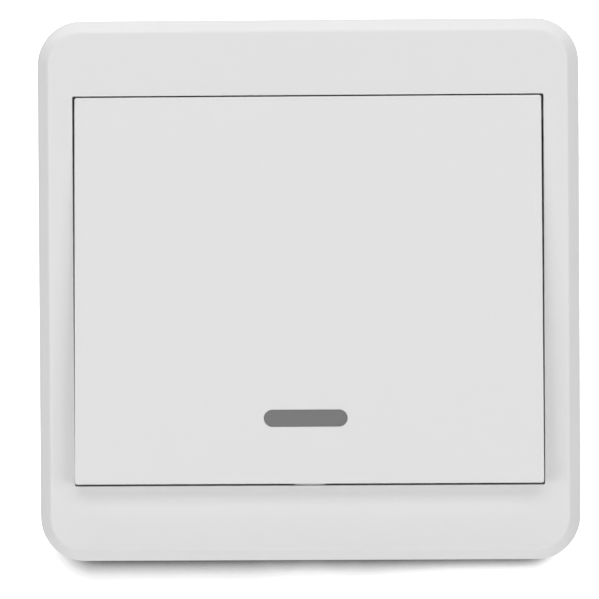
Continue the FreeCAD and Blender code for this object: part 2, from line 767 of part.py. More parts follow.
# Four pan head screws hold the board on the bosses
screws = new_body("board_screws")
shanks = new_sketch(screws, "shanks", "board_screw_tip")
for x, y in boss_places:
    add_circle(shanks, x, y, "board_screw_radius")
add_pad(shanks, f"{board_top} - board_screw_tip")
heads = new_sketch(screws, "heads", board_top)
for x, y in boss_places:
    add_circle(heads, x, y, "board_screw_head_radius")
head_pad = add_pad(heads, "board_screw_head_height")
head_top = f"({board_top} + board_screw_head_height)"
add_chamfer(head_pad, edges_at(head_pad, head_top), "board_screw_head_bevel")
crosses = new_sketch(screws, "crosses", f"{head_top} - cross_depth")
for x, y in boss_places:
    long_arm = "cross_length / 2"
    short_arm = "cross_width / 2"
    add_polygon(
        crosses,
        [
            (f"{x} - {long_arm}", f"{y} - {short_arm}"),
            (f"{x} - {short_arm}", f"{y} - {short_arm}"),
            (f"{x} - {short_arm}", f"{y} - {long_arm}"),
            (f"{x} + {short_arm}", f"{y} - {long_arm}"),
            (f"{x} + {short_arm}", f"{y} - {short_arm}"),
            (f"{x} + {long_arm}", f"{y} - {short_arm}"),
            (f"{x} + {long_arm}", f"{y} + {short_arm}"),
            (f"{x} + {short_arm}", f"{y} + {short_arm}"),
            (f"{x} + {short_arm}", f"{y} + {long_arm}"),
            (f"{x} - {short_arm}", f"{y} + {long_arm}"),
            (f"{x} - {short_arm}", f"{y} + {short_arm}"),
            (f"{x} - {long_arm}", f"{y} + {short_arm}"),
        ],
    )
add_pocket(crosses)

# Push switch base: a moulded block with a round well for the dome and the plunger's flange
base = new_body("switch_base", y="switch_rise", z=board_top)
base_block = new_sketch(base, "block")
base_x = "(switch_side / 2)"
base_y = "(switch_side / 2 - switch_cover_wall)"
add_rectangle(base_block, f"-{base_x}", f"-{base_y}", base_x, base_y)
add_pad(base_block, "switch_base_height")
well = new_sketch(base, "well", "switch_base_height - switch_well_depth")
add_circle(well, "0", "0", "switch_well_radius")
add_pocket(well)

# Push switch cover: folded sheet that keeps the plunger in
cover = new_body("switch_cover", y="switch_rise", z=board_top)
cover_top = new_sketch(cover, "top", "switch_base_height")
add_rectangle(cover_top, f"-{base_x}", f"-{base_x}", base_x, base_x)
add_circle(cover_top, "0", "0", "(plunger_radius + plunger_clearance)")
add_pad(cover_top, "switch_cover_wall")
cover_folds = new_sketch(cover, "folds", "switch_base_height - switch_cover_skirt")
for end in (-1, 1):
    near = f"{end} * {base_y}"
    add_rectangle(cover_folds, f"-{base_x}", near, base_x, f"{end} * {base_x}")
add_pad(cover_folds, "switch_cover_skirt")

# Push switch legs: four bent strips soldered to the board
legs = new_body("switch_legs", y="switch_rise", z=board_top)
for end in (-1, 1):
    for side in (-1, 1):
        where = f"{'upper' if end > 0 else 'lower'}_{'right' if side > 0 else 'left'}"
        leg = new_sketch(legs, f"leg_{where}", f"-{end} * switch_leg_pitch / 2", "XZ_Plane")
        add_polygon(
            leg,
            [
                (f"{side} * {base_x}", "0"),
                (f"{side} * ({base_x} + switch_leg_reach)", "0"),
                (f"{side} * ({base_x} + switch_leg_reach)", "switch_leg_wall"),
                (f"{side} * ({base_x} + switch_leg_wall)", "switch_leg_wall"),
                (f"{side} * ({base_x} + switch_leg_wall)", "switch_leg_height"),
                (f"{side} * {base_x}", "switch_leg_height"),
            ],
        )
        add_pad(leg, "switch_leg_width", both_ways=True)

# Contact dome: a sprung disc on the floor of the well, which snaps through when pressed
dome_floor = "(switch_base_height - switch_well_depth)"
dome = new_body("contact_dome", y="switch_rise", z=f"({board_top} + {dome_floor})")
dome_profile = new_sketch(dome, "profile", plane="XZ_Plane")
add_polygon(
    dome_profile,
    [
        ("0", "dome_height - dome_wall"),
        ("dome_crown", "dome_height - dome_wall"),
        ("dome_radius - dome_wall", "0"),
        ("dome_radius", "0"),
        ("dome_crown", "dome_height"),
        ("0", "dome_height"),
    ],
)
add_revolution(dome_profile, "Z_Axis")

# Plunger: turned shape with a flange below the cover and a foot over the dome
plunger = new_body("switch_plunger", y="switch_rise", z=board_top)
plunger_profile = new_sketch(plunger, "profile", plane="XZ_Plane")
plunger_flange_top = "(switch_base_height - plunger_play)"
plunger_flange_low = "(switch_base_height - plunger_play - plunger_flange_wall)"
plunger_foot = f"({dome_floor} + dome_height + plunger_foot_gap)"
add_polygon(
    plunger_profile,
    [
        ("0", plunger_foot),
        ("plunger_foot_radius", plunger_foot),
        ("plunger_foot_radius", plunger_flange_low),
        ("plunger_flange_radius", plunger_flange_low),
        ("plunger_flange_radius", plunger_flange_top),
        ("plunger_radius", plunger_flange_top),
        ("plunger_radius", "plunger_height"),
        ("0", "plunger_height"),
    ],
)
add_revolution(plunger_profile, "Z_Axis")

# Indicator lamp below the lens
led_y = f"({hinge_y} - {rocker_fall} + lens_rise * cos(rocker_tilt))"
led = new_body("status_led", x="-lens_offset", y=led_y, z=board_top)
led_flange = new_sketch(led, "flange")
add_circle(led_flange, "0", "0", "led_flange_radius")
add_pad(led_flange, "led_flange_wall")
led_case = new_sketch(led, "case", "led_flange_wall")
add_circle(led_case, "0", "0", "led_radius")
led_pad = add_pad(led_case, "led_height - led_flange_wall")
add_chamfer(led_pad, edges_at(led_pad, "led_height"), "led_crown")

# Encoder chip with four gull wing leads on each side
chip = new_body("encoder_chip", x="chip_x", y=f"({board_upper} - chip_fall)", z=board_top)
chip_case = new_sketch(chip, "case", "chip_standoff")
add_rectangle(chip_case, "-chip_length / 2", "-chip_width / 2", "chip_length / 2", "chip_width / 2")
add_pad(chip_case, "chip_height")
for end in (-1, 1):
    where = "upper" if end > 0 else "lower"
    lead = new_sketch(chip, f"{where}_lead", "-1.5 * lead_pitch", "YZ_Plane")
    root = f"{end} * (chip_width / 2 - lead_wall)"
    bend = f"{end} * (chip_width / 2 + lead_reach / 2)"
    add_polygon(
        lead,
        [
            (root, "lead_rise"),
            (f"{bend} - {end} * lead_wall", "lead_rise"),
            (f"{bend} - {end} * lead_wall", "0"),
            (f"{end} * (chip_width / 2 + lead_reach)", "0"),
            (f"{end} * (chip_width / 2 + lead_reach)", "lead_wall"),
            (bend, "lead_wall"),
            (bend, "lead_rise + lead_wall"),
            (root, "lead_rise + lead_wall"),
        ],
    )
    first_lead = add_pad(lead, "lead_width", both_ways=True)
    add_row(first_lead, 4, "lead_pitch")

# Transmitter transistor in a small three lead case
transistor_y = f"({board_upper} - transistor_fall)"
transistor = new_body("rf_transistor", x="-transistor_x", y=transistor_y, z=board_top)
case = new_sketch(transistor, "case", "chip_standoff")
case_x = "(transistor_length / 2)"
case_y = "(transistor_width / 2)"
add_rectangle(case, f"-{case_x}", f"-{case_y}", case_x, case_y)
add_pad(case, "transistor_height")
tabs = new_sketch(transistor, "leads")
for place, end in ((-0.75, -1), (0.75, -1), (0, 1)):
    left = f"{place} * lead_pitch - lead_width / 2"
    right = f"{place} * lead_pitch + lead_width / 2"
    near = f"{end} * ({case_y} - lead_wall)"
    add_rectangle(tabs, left, near, right, f"{end} * ({case_y} + transistor_lead_reach)")
add_pad(tabs, "chip_standoff + lead_wall")

# Resonator in a drawn round can on a wider base
resonator_y = f"({board_upper} - resonator_fall)"
resonator = new_body("saw_resonator", x="-resonator_x", y=resonator_y, z=board_top)
can_profile = new_sketch(resonator, "profile", plane="XZ_Plane")
add_polygon(
    can_profile,
    [
        ("0", "0"),
        ("resonator_base_radius", "0"),
        ("resonator_base_radius", "resonator_base_wall"),
        ("resonator_radius", "resonator_base_wall"),
        ("resonator_radius", "resonator_height - resonator_edge"),
        ("resonator_radius - resonator_edge", "resonator_height"),
        ("0", "resonator_height"),
    ],
)
add_revolution(can_profile, "Z_Axis")

# Rows of chip resistors and chip capacitors
small_x = "(small_part_length / 2)"
small_y = "(small_part_width / 2)"
resistors = new_body("chip_resistors", x="resistor_x", y="small_part_rise", z=board_top)
resistor = new_sketch(resistors, "first")
add_rectangle(resistor, f"-{small_x}", f"-{small_y}", small_x, small_y)
add_row(add_pad(resistor, "resistor_height"), 5, "small_part_pitch")
capacitors = new_body("chip_capacitors", x="-capacitor_x", y="small_part_rise", z=board_top)
capacitor = new_sketch(capacitors, "first")
add_rectangle(capacitor, f"-{small_x}", f"-{small_y}", small_x, small_y)
add_row(add_pad(capacitor, "capacitor_height"), 4, "small_part_pitch")

# Antenna: a bridge of flat wire, bent round at both ends and soldered to the board
span_x = "(antenna_span / 2)"
antenna_x = f"({board_x} - boss_inset - board_screw_head_radius - antenna_side_gap - {span_x})"
antenna = new_body("antenna_wire", x=antenna_x, y=f"({board_lower} + antenna_inset)", z=board_top)
bridge = new_sketch(antenna, "bridge", plane="XZ_Plane")
inner_x = "(antenna_span / 2 - antenna_wall)"
inner_z = "(antenna_rise - antenna_wall)"
add_polygon(
    bridge,
    [
        (f"-{span_x}", "0"),
        (f"-{inner_x}", "0"),
        (f"-{inner_x}", inner_z),
        (inner_x, inner_z),
        (inner_x, "0"),
        (span_x, "0"),
        (span_x, "antenna_rise"),
        (f"-{span_x}", "antenna_rise"),
    ],
)
add_pad(bridge, "antenna_width", both_ways=True)
for reach, level, radius in (
    (inner_x, inner_z, "antenna_bend"),
    (span_x, "antenna_rise", "(antenna_bend + antenna_wall)"),
):
    bends = []
    for side in (-1, 1):
        upright = edges_at(antenna.Tip, f"{side} * {reach}", "X")
        bends += [name for name in edges_at(antenna.Tip, level) if name in upright]
    add_fillet(antenna.Tip, bends, radius)

# Battery: a sealed cell that lies level in the saddles, its nub to the right
battery = new_body("battery", y=battery_y, z=battery_z)
cell = new_sketch(battery, "profile")
shoulder = f"({battery_end} - battery_nub_length)"
add_polygon(
    cell,
    [
        (f"-{battery_end}", "0"),
        (f"{battery_end}", "0"),
        (f"{battery_end}", "battery_nub_radius"),
        (shoulder, "battery_nub_radius"),
        (shoulder, "battery_radius - battery_edge"),
        (f"{shoulder} - battery_edge", "battery_radius"),
        (f"-{battery_end} + battery_edge", "battery_radius"),
        (f"-{battery_end}", "battery_radius - battery_edge"),
    ],
)
add_revolution(cell, "X_Axis")

# Battery contacts: bent spring sheet, one flat blade at the nub and one sprung leaf at the can
foot_low = board_top
blade_low = f"({board_under} - contact_wall)"
blade_high = f"({battery_z} + battery_radius / 2)"
plus = new_body("battery_contact_plus", y=battery_y)
blade = new_sketch(plus, "profile", plane="XZ_Plane")
blade_face = f"({battery_end} + contact_gap)"
add_polygon(
    blade,
    [
        (blade_face, blade_low),
        (f"{blade_face} + contact_wall", blade_low),
        (f"{blade_face} + contact_wall", foot_low),
        (f"{window_right} + contact_foot", foot_low),
        (f"{window_right} + contact_foot", f"{foot_low} + contact_wall"),
        (f"{blade_face} + contact_wall", f"{foot_low} + contact_wall"),
        (f"{blade_face} + contact_wall", blade_high),
        (blade_face, blade_high),
    ],
)
add_pad(blade, "contact_width", both_ways=True)
minus = new_body("battery_contact_minus", y=battery_y)
leaf = new_sketch(minus, "profile", plane="XZ_Plane")
leaf_back = f"(-{battery_end} - contact_gap - leaf_depth)"
leaf_front = f"(-{battery_end} - contact_gap)"
add_polygon(
    leaf,
    [
        (f"{window_left} - contact_foot", foot_low),
        (f"{leaf_back} + contact_wall", foot_low),
        (f"{leaf_back} + contact_wall", f"{blade_high} - contact_wall"),
        (f"{leaf_front} - contact_wall", f"{blade_high} - contact_wall"),
        (f"{leaf_front} - contact_wall", blade_low),
        (leaf_front, blade_low),
        (leaf_front, blade_high),
        (leaf_back, blade_high),
        (leaf_back, f"{foot_low} + contact_wall"),
        (f"{window_left} - contact_foot", f"{foot_low} + contact_wall"),
    ],
)
add_pad(leaf, "contact_width", both_ways=True)

document.recompute()
for item in document.Objects:
    if "Invalid" in item.State or "Error" in item.State:
        raise RuntimeError(f"{item.Label} failed: {item.State}")
for body in bodies:
    if body.Shape.isNull() or not body.Shape.isValid():
        raise RuntimeError(f"{body.Label} has no valid shape")

os.makedirs("parts", exist_ok=True)
for body in bodies:
    body.Shape.exportStep(f"parts/{body.Label}.step")
    print(body.Label, len(body.Shape.Solids), round(body.Shape.Volume, 2), body.Shape.BoundBox)
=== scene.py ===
import bmesh
import bpy
import math
from mathutils import Matrix, Vector


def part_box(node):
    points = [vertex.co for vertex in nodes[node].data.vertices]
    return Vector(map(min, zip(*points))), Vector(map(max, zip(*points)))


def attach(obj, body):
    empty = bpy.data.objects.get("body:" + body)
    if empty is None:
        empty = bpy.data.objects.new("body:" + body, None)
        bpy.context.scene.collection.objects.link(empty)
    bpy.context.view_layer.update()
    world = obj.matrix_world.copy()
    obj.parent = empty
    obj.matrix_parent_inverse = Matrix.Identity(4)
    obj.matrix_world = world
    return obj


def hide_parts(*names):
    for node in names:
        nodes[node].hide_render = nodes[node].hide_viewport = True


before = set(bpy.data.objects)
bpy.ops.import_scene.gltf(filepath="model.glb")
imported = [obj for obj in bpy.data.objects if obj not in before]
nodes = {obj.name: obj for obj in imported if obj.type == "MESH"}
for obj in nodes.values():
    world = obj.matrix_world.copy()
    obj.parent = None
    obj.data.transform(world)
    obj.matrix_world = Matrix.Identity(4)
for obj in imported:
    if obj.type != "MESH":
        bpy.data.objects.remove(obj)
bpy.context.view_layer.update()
bpy.context.scene.view_settings.view_transform = "Standard"

# The camera looks almost straight at the wall through a long lens, a little from
# the right and above, so that all four bevels of the plate show at once.
camera_data = bpy.data.cameras.new("camera")
camera_data.lens = 203.5
camera = bpy.data.objects.new("camera", camera_data)
camera.location = (0.010033, -0.547318, 0.009206)
camera.rotation_euler = [math.radians(turn) for turn in (88.86293, 0.35028, 1.22087)]
bpy.context.scene.collection.objects.link(camera)
bpy.context.scene.camera = camera

# The wall is plain painted plaster, open behind the plate as over a wall box, so that the
# plate's back shows. The camera sees it as clean white, with a painted shadow below the
# plate, deepest on the left and fading out towards the plate's corners.
wall_half = 2.0
wall_gap = 0.0001
wall_opening_half = 0.043
wall_opening_corner = 0.007
wall_tone = 0.9
# These tones set the painted shadow: darkest at the plate, and paler towards the right.
wall_tone_above = 2.2
painted_shadow_tone_left = 1.34
painted_shadow_tone_right = 2.1
painted_shadow_darkest = 0.03
contact_shade = 0.59
contact_reach = 0.0048
shadow_low = -0.043
shadow_high = -0.04
shadow_full = 0.0355
shadow_end = 0.044
painted_shadow_paler_from = 0.0
painted_shadow_paler_to = 0.035


def set_socket(tree, socket, given):
    """A socket takes a value, or a link where it is given another node's output."""
    if isinstance(given, bpy.types.NodeSocket):
        tree.links.new(given, socket)
    else:
        socket.default_value = given


def add_node(tree, kind, settings, **sockets):
    """A shader node with its properties and its sockets set by name."""
    made = tree.nodes.new(kind)
    for name, setting in settings.items():
        setattr(made, name, setting)
    for name, given in sockets.items():
        set_socket(tree, made.inputs[name.replace("_", " ")], given)
    return made


def remap(tree, number, lowest, highest, old_lowest=0.0, old_highest=1.0, kind="LINEAR"):
    """A number stretched from its old range to a new one and held inside it."""
    spread = add_node(tree, "ShaderNodeMapRange", {"interpolation_type": kind})
    limits = {
        "Value": number, "From Min": old_lowest, "From Max": old_highest,
        "To Min": lowest, "To Max": highest}
    for name, given in limits.items():
        set_socket(tree, spread.inputs[name], given)
    return spread.outputs[0]


def compute(tree, operation, *numbers):
    """The result of one operation on numbers or on other nodes' outputs."""
    step = add_node(tree, "ShaderNodeMath", {"operation": operation})
    for socket, number in zip(step.inputs, numbers):
        set_socket(tree, socket, number)
    return step.outputs[0]


def add_object(name, build):
    """An object at the origin whose mesh is the finished build."""
    mesh = bpy.data.meshes.new(name)
    build.to_mesh(mesh)
    build.free()
    made = bpy.data.objects.new(name, mesh)
    bpy.context.scene.collection.objects.link(made)
    return made


upright = Matrix.Rotation(math.radians(90), 4, "X")
plaster = bmesh.new()
facing = Matrix.Translation((0, wall_gap, 0)) @ upright
bmesh.ops.create_grid(plaster, x_segments=1, y_segments=1, size=wall_opening_half, matrix=facing)
bmesh.ops.bevel(
    plaster, geom=plaster.verts[:], offset=wall_opening_corner, offset_type="OFFSET",
    segments=8, profile=0.5, affect="VERTICES", material=-1)
covered = plaster.faces[:]
spread_out = bmesh.ops.extrude_edge_only(plaster, edges=plaster.edges[:])
far_edge = [item for item in spread_out["geom"] if isinstance(item, bmesh.types.BMVert)]
wall_growth = wall_half / wall_opening_half
bmesh.ops.scale(plaster, vec=(wall_growth, 1, wall_growth), verts=far_edge)
bmesh.ops.delete(plaster, geom=covered, context="FACES")
plaster.normal_update()
bmesh.ops.reverse_faces(plaster, faces=[face for face in plaster.faces if face.normal.y > 0])
wall = add_object("wall", plaster)

paint = bpy.data.materials.new("wall_paint")
paint.use_nodes = True
tree = paint.node_tree
tree.nodes.clear()
places = add_node(tree, "ShaderNodeTexCoord", {})
# Painted shadow: the colour that the camera sees is darkened where ambient occlusion finds the plate
# near. It is paler to the right, and it fades out towards the plate's corners and above its bottom
# edge.
spot = add_node(tree, "ShaderNodeSeparateXYZ", {}, Vector=places.outputs["Object"])
shadow_occlusion = add_node(tree, "ShaderNodeAmbientOcclusion", {}, Distance=contact_reach)
painted_shadow_lightest = remap(
    tree, spot.outputs["X"], painted_shadow_tone_left, painted_shadow_tone_right, painted_shadow_paler_from, painted_shadow_paler_to, "SMOOTHSTEP")
painted_contact_shadow = remap(tree, shadow_occlusion.outputs["AO"], painted_shadow_darkest, painted_shadow_lightest, contact_shade)
off_centre = compute(tree, "ABSOLUTE", spot.outputs["X"])
painted_shadow_below = remap(tree, off_centre, painted_contact_shadow, painted_shadow_lightest, shadow_full, shadow_end, "SMOOTHSTEP")
seen_tone_with_painted_shadow = remap(
    tree, spot.outputs["Z"], painted_shadow_below, wall_tone_above, shadow_low, shadow_high, "SMOOTHSTEP")
path = add_node(tree, "ShaderNodeLightPath", {})
tone = remap(tree, path.outputs["Is Camera Ray"], wall_tone, seen_tone_with_painted_shadow)
side = add_node(tree, "ShaderNodeNewGeometry", {})
unseen = compute(tree, "MAXIMUM", side.outputs["Backfacing"], path.outputs["Is Shadow Ray"])
diffuse = add_node(tree, "ShaderNodeBsdfDiffuse", {}, Color=tone)
clear = add_node(tree, "ShaderNodeBsdfTransparent", {})
choice = add_node(tree, "ShaderNodeMixShader", {}, Fac=unseen)
tree.links.new(diffuse.outputs[0], choice.inputs[1])
tree.links.new(clear.outputs[0], choice.inputs[2])
add_node(tree, "ShaderNodeOutputMaterial", {}, Surface=choice.outputs[0])
wall.data.materials.append(paint)

# The room is evenly white. What the camera, gloss and clear plastic see of it is full
# white, and a much fainter part of it fills the shadows.
fill_level = 0.08
world = bpy.data.worlds.new("room")
bpy.context.scene.world = world
world.use_nodes = True
tree = world.node_tree
tree.nodes.clear()
path = add_node(tree, "ShaderNodeLightPath", {})
seen = compute(tree, "MAXIMUM", path.outputs["Is Camera Ray"], path.outputs["Is Glossy Ray"])
seen_any = compute(tree, "MAXIMUM", seen, path.outputs["Is Transmission Ray"])
sky_level = remap(tree, seen_any, fill_level, 1.0)
sky = add_node(tree, "ShaderNodeBackground", {}, Color=(1, 1, 1, 1), Strength=sky_level)
add_node(tree, "ShaderNodeOutputWorld", {}, Surface=sky.outputs[0])

# Softboxes: one in front and above, one on each side, a strip high above and one far below
# that graze the bevels but aren't mirrored in the plastic, and one behind the wall for the
# plate's back. Each line gives a name, a place, a width, a depth and a power in watts.
strip_height = 1.1
softboxes = [
    ("front_softbox", (0.0, -1.08, 0.73), 1.5, 0.48, 6.6),
    ("left_softbox", (-0.87, -0.97, -0.1), 0.9, 0.6, 5.9),
    ("right_softbox", (0.87, -0.97, -0.1), 0.9, 0.6, 5.9),
    ("top_softbox", (0.0, -0.18, 1.27), 1.2, 0.25, 7.0),
    ("low_softbox", (0.0, -0.31, -1.16), 1.2, 0.3, 6.1),
    ("back_softbox", (0.1, 1.3, 0.25), 0.9, 0.9, 15.0),
]
for name, place, width, depth, watts in softboxes:
    lamp = bpy.data.lights.new(name, "AREA")
    lamp.shape = "RECTANGLE"
    lamp.size = width
    lamp.size_y = depth
    lamp.energy = watts
    softbox = bpy.data.objects.new(name, lamp)
    softbox.location = place
    softbox.visible_glossy = abs(place[2]) < strip_height
    softbox.rotation_euler = (-Vector(place)).to_track_quat("-Z", "Y").to_euler()
    bpy.context.scene.collection.objects.link(softbox)

# Back shell: the wall plate, one shallow tray of injection moulded plastic, duller than
# the front. Its back shows the trimmed gate and faint sink lines opposite the ribs, and
# its floor inside shows the round marks of the ejector pins.
plastic_ior = 1.5
flow_scale = 18.0
flow_shades = (0.992, 1.008)
roughness_spread = 0.05
pit_detail = 4.0
shell_colour = (0.7, 0.7, 0.69)
shell_rib_x = 0.02
shell_rib_z = 0.015
sink_width = 0.0012
sink_share = 0.3
gate_radius = 0.0016
pin_mark = (0.011, 0.0, 0.034)
pin_mark_radius = 0.002
disc_edge_from = 0.9
mark_depth = 0.00005
inside_below = -0.0009


def new_material(name):
    """A material, its node tree, its shader and the place on the piece."""
    made = bpy.data.materials.new(name)
    made.use_nodes = True
    tree = made.node_tree
    places = add_node(tree, "ShaderNodeTexCoord", {})
    return made, tree, tree.nodes["Principled BSDF"], places.outputs["Object"]


def speckle(tree, place, scale, detail=2.0):
    """Uneven patches between 0 and 1, smaller as the scale grows."""
    noise = add_node(tree, "ShaderNodeTexNoise", {}, Vector=place, Scale=scale, Detail=detail)
    return noise.outputs["Fac"]


def shade(tree, colour, number):
    """A colour made lighter or darker by a number."""
    tint = add_node(tree, "ShaderNodeVectorMath", {"operation": "SCALE"}, Scale=number)
    tint.inputs[0].default_value = colour
    return tint.outputs[0]


def add_bump(tree, shader, height, depth, strength=0.25):
    """Fine relief on a shader, from a height between 0 and 1 and its depth in metres."""
    bump = add_node(tree, "ShaderNodeBump", {}, Height=height, Distance=depth, Strength=strength)
    tree.links.new(bump.outputs[0], shader.inputs["Normal"])


def moulded(name, colour, roughness, grain, depth):
    """Moulded plastic with a fine eroded grain and slight flow shading."""
    made, tree, shader, place = new_material(name)
    shader.inputs["IOR"].default_value = plastic_ior
    flow = remap(tree, speckle(tree, place, flow_scale), *flow_shades)
    tree.links.new(shade(tree, colour, flow), shader.inputs["Base Color"])
    pits = speckle(tree, place, grain, pit_detail)
    dulled = remap(tree, pits, roughness - roughness_spread, roughness + roughness_spread)
    tree.links.new(dulled, shader.inputs["Roughness"])
    add_bump(tree, shader, pits, depth)
    return made


def finish_with(material, *names):
    """The material on each of these carried over pieces."""
    for name in names:
        nodes[name].data.materials.clear()
        nodes[name].data.materials.append(material)


def disc(tree, place, centre, radius):
    """1 inside a circle, falling to 0 over the last tenth of its radius."""
    away = add_node(tree, "ShaderNodeVectorMath", {"operation": "DISTANCE"})
    set_socket(tree, away.inputs[0], place)
    set_socket(tree, away.inputs[1], centre)
    return remap(tree, away.outputs["Value"], 1.0, 0.0, radius * disc_edge_from, radius)


shell_plastic = moulded("shell_plastic", shell_colour, roughness=0.5, grain=2500.0, depth=0.00002)
tree = shell_plastic.node_tree
place = add_node(tree, "ShaderNodeTexCoord", {}).outputs["Object"]
mirrored = add_node(tree, "ShaderNodeVectorMath", {"operation": "ABSOLUTE"}, Vector=place)
flattened = add_node(tree, "ShaderNodeVectorMath", {"operation": "MULTIPLY"})
set_socket(tree, flattened.inputs[0], mirrored.outputs["Vector"])
set_socket(tree, flattened.inputs[1], (1.0, 0.0, 1.0))
level = flattened.outputs["Vector"]
axes = add_node(tree, "ShaderNodeSeparateXYZ", {}, Vector=level)
sinks = [
    remap(
        tree, compute(tree, "ABSOLUTE", compute(tree, "SUBTRACT", axes.outputs[axis], middle)),
        sink_share, 0.0, 0.0, sink_width, "SMOOTHSTEP")
    for axis, middle in (("X", shell_rib_x), ("Z", shell_rib_z))]
gate = disc(tree, level, (0.0, 0.0, 0.0), gate_radius)
back_marks = compute(tree, "MAXIMUM", compute(tree, "MAXIMUM", *sinks), gate)
floor_marks = disc(tree, level, pin_mark, pin_mark_radius)
depth_in = add_node(tree, "ShaderNodeSeparateXYZ", {}, Vector=place).outputs["Y"]
on_back = compute(tree, "GREATER_THAN", depth_in, inside_below)
marks = remap(tree, on_back, floor_marks, back_marks)
grain_bump = next(node for node in tree.nodes if node.bl_idname == "ShaderNodeBump")
mark_bump = add_node(
    tree, "ShaderNodeBump", {"invert": True}, Height=marks, Distance=mark_depth, Strength=1.0)
tree.links.new(mark_bump.outputs[0], grain_bump.inputs["Normal"])
finish_with(shell_plastic, "back_shell")

# Circuit board: glass cloth and resin laminate with green solder mask on both faces. It
# is cut to shape round the wall screws and the battery, so its edges show bare.
mask_colour = (0.006, 0.075, 0.028)
laminate_colour = (0.34, 0.31, 0.15, 1)
lacquer_scale = 160.0
lacquer_shades = (0.8, 1.2)
lacquer_roughness = (0.18, 0.3)
strand_scale = 700.0
strand_depth = 0.00001
flat_side_from = 0.5


def mix_colours(tree, share, first, second):
    """From the first colour at a share of 0 to the second at 1."""
    # A mix node's colours are its sockets 6 and 7, and the mixed colour is its output 2.
    mix = add_node(tree, "ShaderNodeMix", {"data_type": "RGBA"})
    for socket, given in zip((mix.inputs[0], mix.inputs[6], mix.inputs[7]), (share, first, second)):
        set_socket(tree, socket, given)
    return mix.outputs[2]


def solder_mask(name, colour):
    """Glossy cured lacquer over glass cloth, thicker in some places than in others."""
    made, tree, shader, place = new_material(name)
    mask = shade(tree, colour, remap(tree, speckle(tree, place, lacquer_scale), *lacquer_shades))
    tree.links.new(mask, shader.inputs["Base Color"])
    gloss = remap(tree, speckle(tree, place, strand_scale), *lacquer_roughness)
    tree.links.new(gloss, shader.inputs["Roughness"])
    strands = [
        add_node(
            tree, "ShaderNodeTexWave", {"bands_direction": way},
            Vector=place, Scale=strand_scale).outputs["Fac"]
        for way in ("X", "Z")]
    add_bump(tree, shader, compute(tree, "MAXIMUM", *strands), strand_depth)
    return made, tree, shader, mask


board_finish, tree, shader, mask = solder_mask("board_laminate", mask_colour)
faces_out = add_node(tree, "ShaderNodeTexCoord", {}).outputs["Normal"]
outward = add_node(tree, "ShaderNodeSeparateXYZ", {}, Vector=faces_out).outputs["Y"]
masked = compute(tree, "GREATER_THAN", compute(tree, "ABSOLUTE", outward), flat_side_from)
tree.links.new(mix_colours(tree, masked, laminate_colour, mask), shader.inputs["Base Color"])
finish_with(board_finish, "circuit_board")

# Tracks: copper foil etched into lines that lead from part to part, seen as lighter green
# ridges under the solder mask. The routes are in millimetres, across and up.
mm_per_metre = 1000
round_steps = 20
covered_copper_colour = (0.016, 0.16, 0.055)
foil = 0.00004
corner_foil = 0.000048
foil_seat = 0.00001
track_width = 0.0003
chip_leads = (10.095, 11.365, 12.635, 13.905)
routes = [
    [(chip_leads[0], 19), (chip_leads[0], 20.9), (8.7, 22.3), (-3.8, 22.3), (-5.5, 20.6),
     (-6.05, 19.2)],
    [(-7.95, 19.2), (-7.95, 17.6), (-9.8, 17)],
    [(-7, 21.8), (-7, 23.4), (-21.2, 23.4), (-22.8, 21.8), (-22.8, 3.6), (-20.7, 1.5), (-17, 1.5)],
    [(-15, 1.5), (-14.3, 1.5)],
    [(-12.3, 1.5), (-11.6, 1.5)],
    [(-6.9, 1.5), (-5.9, 1.5), (-5.2, 2.2), (-4.5, 3.25)],
    [(4.5, 3.25), (4.5, 2.2), (5, 1.5)],
    [(7, 1.5), (7.7, 1.5)],
    [(9.7, 1.5), (10.4, 1.5)],
    [(12.4, 1.5), (13.1, 1.5)],
    [(17.8, 1.5), (18.2, 1.5), (19.4, 2.7), (19.4, 11.2), (17.8, 12.8), (chip_leads[3], 12.8)],
    [(chip_leads[2], 13), (chip_leads[2], 10.4), (11.2, 9), (6.2, 9), (4.5, 7.75)],
    [(chip_leads[1], 13), (chip_leads[1], 11.4), (10.2, 10.2), (-2.6, 10.2), (-4.5, 7.75)],
    [(chip_leads[0], 13), (chip_leads[0], 12.4), (9.1, 11.4), (-6, 11.4), (-8.4, 9), (-8.4, 4.6),
     (-9.6, 1.5)],
    [(chip_leads[2], 19), (chip_leads[2], 20.2), (13.6, 21.2), (19.4, 21.2), (21.2, 19.4),
     (21.2, -11.2), (19.4, -13), (18, -13)],
    [(chip_leads[1], 19), (chip_leads[1], 20.8), (12.9, 22.4), (20.9, 22.4), (22.6, 20.7),
     (22.6, -17.2), (20.8, -19), (2.4, -19), (1, -20)],
    [(chip_leads[3], 19), (chip_leads[3], 19.6), (14.6, 20.2), (17.2, 20.2), (18.4, 19),
     (18.4, 16.4)],
    [(-19.6, -13), (-22.8, -13), (-24.2, -14.4), (-24.2, -21.6), (-21.8, -24), (4, -24)],
    [(24, -24), (25.4, -22.6), (25.4, -12), (27, -10.4), (27, -8)],
    [(-2.1, -20), (-17.5, -20), (-19.2, -18.3), (-19.2, -16)],
    [(-18.4, 17), (-20.8, 17), (-20.8, 8), (-15.2, 2.4), (-15, 1.5)],
]
board_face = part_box("circuit_board")[0][1]


def on_board(across, up, thickness):
    """The middle of a piece of foil, given in millimetres across and up the board."""
    depth = board_face + foil_seat - thickness / 2
    return Matrix.Translation((across / mm_per_metre, depth, up / mm_per_metre))


def lay_flat(build, across, up, width, height, thickness, turn=0.0):
    """A rectangle of foil on the board, its sides and thickness in metres."""
    place = on_board(across, up, thickness)
    stretch = Matrix.Diagonal((width, thickness, height, 1))
    bmesh.ops.create_cube(build, size=1.0, matrix=place @ Matrix.Rotation(turn, 4, "Y") @ stretch)


